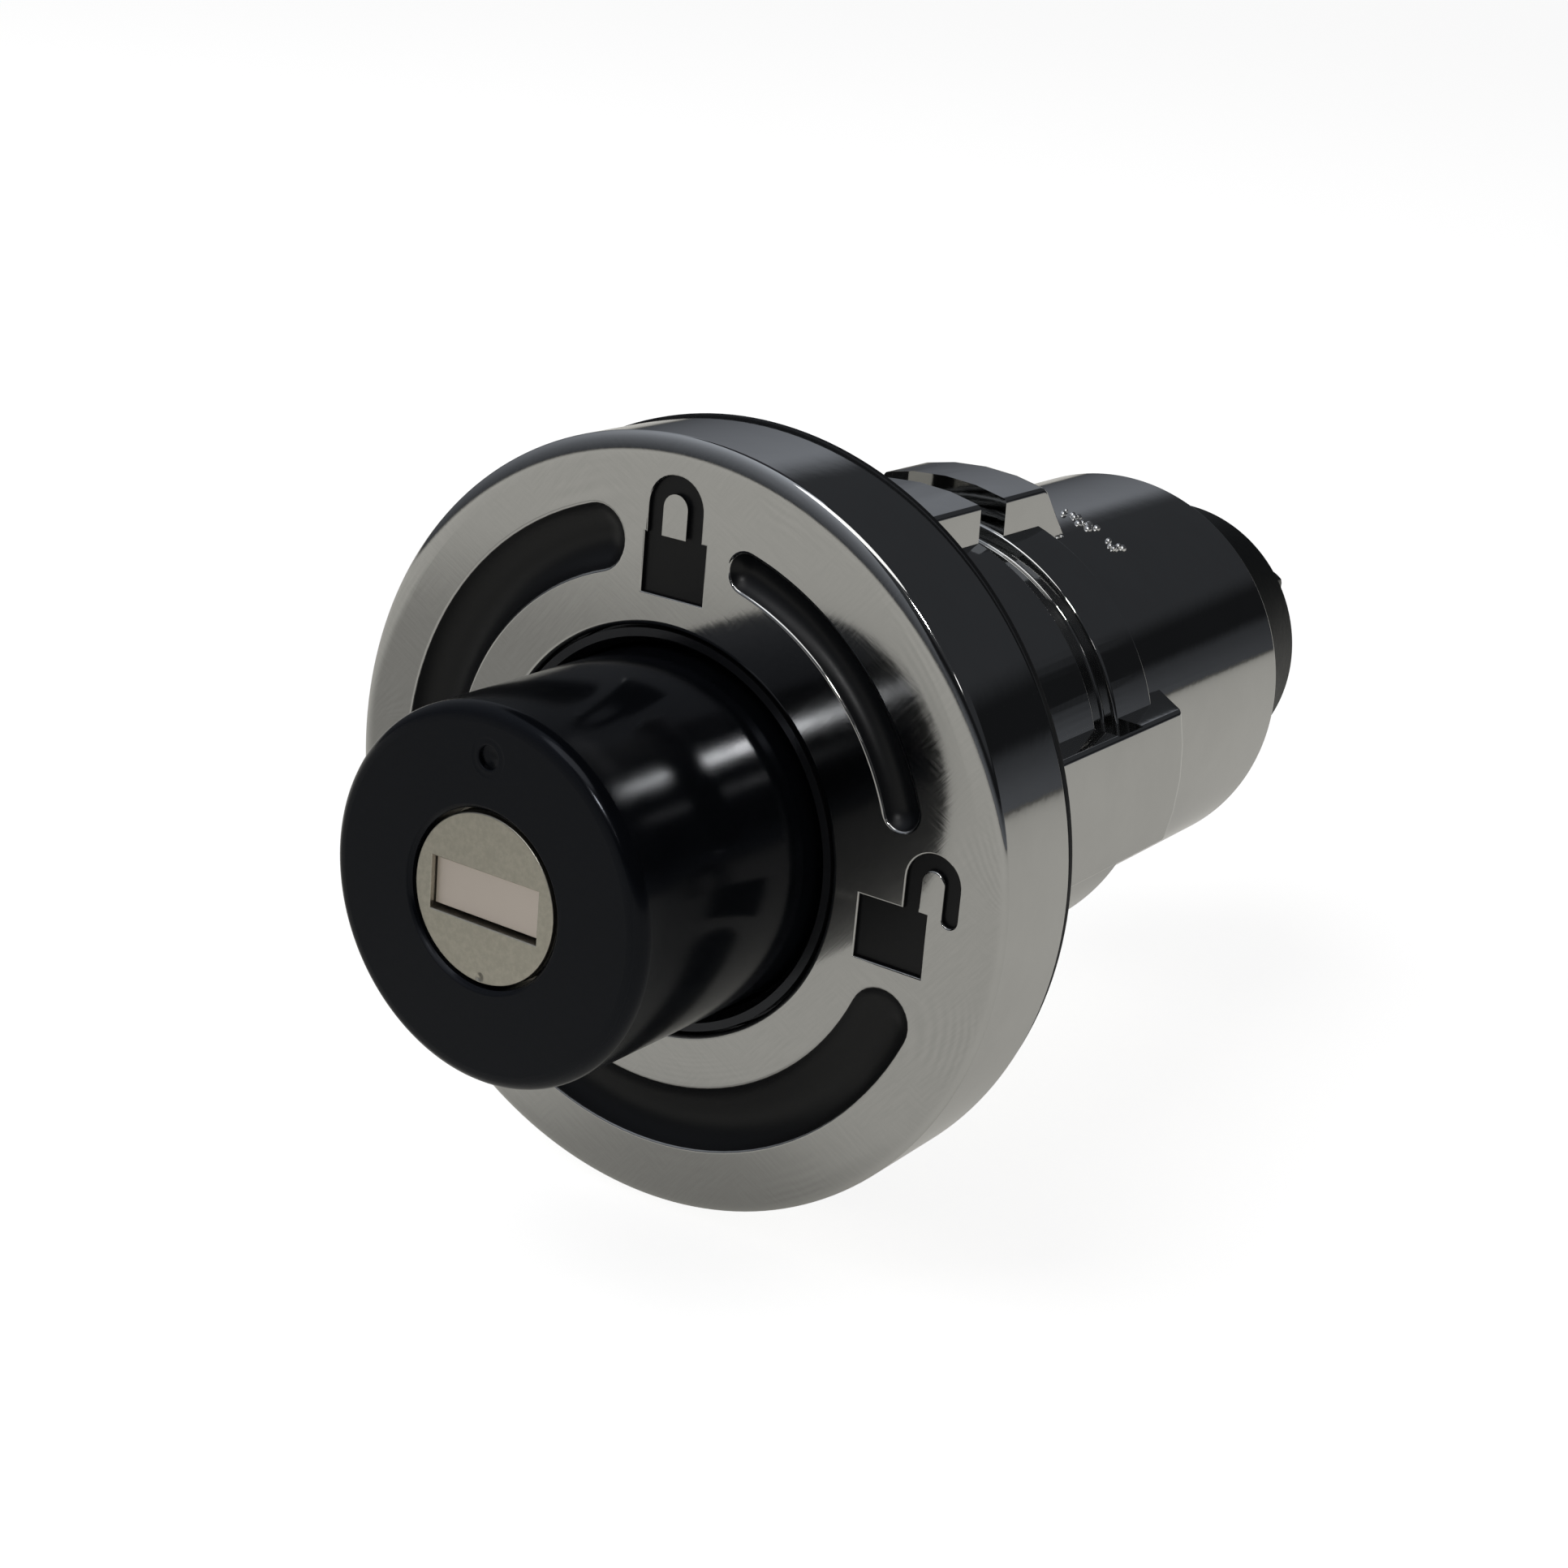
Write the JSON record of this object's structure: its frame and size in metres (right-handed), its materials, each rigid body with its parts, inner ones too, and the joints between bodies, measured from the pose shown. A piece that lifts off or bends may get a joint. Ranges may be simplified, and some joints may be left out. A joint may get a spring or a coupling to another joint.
{
  "type": "pushbutton lock",
  "caption": "Round chrome push lock for a panel: a key turns the black knob a quarter turn, and the knob then pushes a rod out of the ribbed barrel's rear.",
  "frame": {"origin": "centre of the gasket's rear face, which rests on the panel", "axes": "+Y along the lock's axis, into the panel and out of the barrel's rear; +Z to the locked sign at 12 o'clock; +X to the unlocked sign at 3 o'clock"},
  "size_m": [0.0564, 0.1174, 0.0564],
  "materials": {
    "chrome": "polished",
    "gasket_rubber": "matte",
    "collar_plastic": "satin",
    "wiper_rubber": "matte",
    "cap_metal": "satin black",
    "bush_brass": "turned",
    "spring_steel": "drawn wire",
    "sleeve_brass": "turned",
    "pin_steel": "ground",
    "knob_black": "matte face, glossy side",
    "plug_nickel": "nickel plated, satin",
    "rod_steel": "zinc plated",
    "shutter_nickel": "nickel plated, satin",
    "wafer_brass": "stamped"
  },
  "bodies": {
    "housing_body": {"housing": "chrome", "panel_gasket": "gasket_rubber", "bezel_collar": "collar_plastic", "wiper_ring": "wiper_rubber", "end_cap": "cap_metal", "rod_bush": "bush_brass", "return_spring": "spring_steel"},
    "sleeve_body": {"cylinder_sleeve": "sleeve_brass", "turn_stop_pin": "pin_steel"},
    "knob_body": {"knob": "knob_black", "knob_circlip": "spring_steel", "plug": "plug_nickel", "plug_circlip": "spring_steel", "tail_rod": "rod_steel", "rod_pin": "pin_steel", "shutter_pin": "pin_steel", "shutter_spring": "spring_steel", "wafer_spring_1": "spring_steel", "wafer_spring_2": "spring_steel", "wafer_spring_3": "spring_steel", "wafer_spring_4": "spring_steel", "wafer_spring_5": "spring_steel"},
    "shutter_body": {"shutter": "shutter_nickel"},
    "wafer_1_body": {"wafer_1": "wafer_brass"},
    "wafer_2_body": {"wafer_2": "wafer_brass"},
    "wafer_3_body": {"wafer_3": "wafer_brass"},
    "wafer_4_body": {"wafer_4": "wafer_brass"},
    "wafer_5_body": {"wafer_5": "wafer_brass"}
  },
  "joints": [
    {"name": "button_push", "type": "slide", "parent": "housing_body", "child": "sleeve_body", "axis": [0, 1, 0], "range_m": [0, 0.007], "stiffness_N_per_m": 600, "springref_m": -0.015, "deforming": ["return_spring"]},
    {"name": "key_turn", "type": "hinge", "parent": "sleeve_body", "child": "knob_body", "pos_m": [0, 0, 0], "axis": [0, 1, 0], "range_deg": [0, 90]},
    {"name": "shutter_swing", "type": "hinge", "parent": "knob_body", "child": "shutter_body", "pos_m": [0, -0.0261, 0.00155], "axis": [1, 0, 0], "range_deg": [0, 80], "stiffness_Nm_per_rad": 0.0002, "springref_deg": -34.38, "deforming": ["shutter_spring"]},
    {"name": "wafer_1_slide", "type": "slide", "parent": "knob_body", "child": "wafer_1_body", "axis": [1, 0, 0], "range_m": [0, 0.0009], "stiffness_N_per_m": 150, "springref_m": 0.002, "deforming": ["wafer_spring_1"]},
    {"name": "wafer_2_slide", "type": "slide", "parent": "knob_body", "child": "wafer_2_body", "axis": [-1, 0, 0], "range_m": [0, 0.0009], "stiffness_N_per_m": 150, "springref_m": 0.002, "deforming": ["wafer_spring_2"]},
    {"name": "wafer_3_slide", "type": "slide", "parent": "knob_body", "child": "wafer_3_body", "axis": [1, 0, 0], "range_m": [0, 0.0009], "stiffness_N_per_m": 150, "springref_m": 0.002, "deforming": ["wafer_spring_3"]},
    {"name": "wafer_4_slide", "type": "slide", "parent": "knob_body", "child": "wafer_4_body", "axis": [-1, 0, 0], "range_m": [0, 0.0009], "stiffness_N_per_m": 150, "springref_m": 0.002, "deforming": ["wafer_spring_4"]},
    {"name": "wafer_5_slide", "type": "slide", "parent": "knob_body", "child": "wafer_5_body", "axis": [1, 0, 0], "range_m": [0, 0.0009], "stiffness_N_per_m": 150, "springref_m": 0.002, "deforming": ["wafer_spring_5"]}
  ]
}
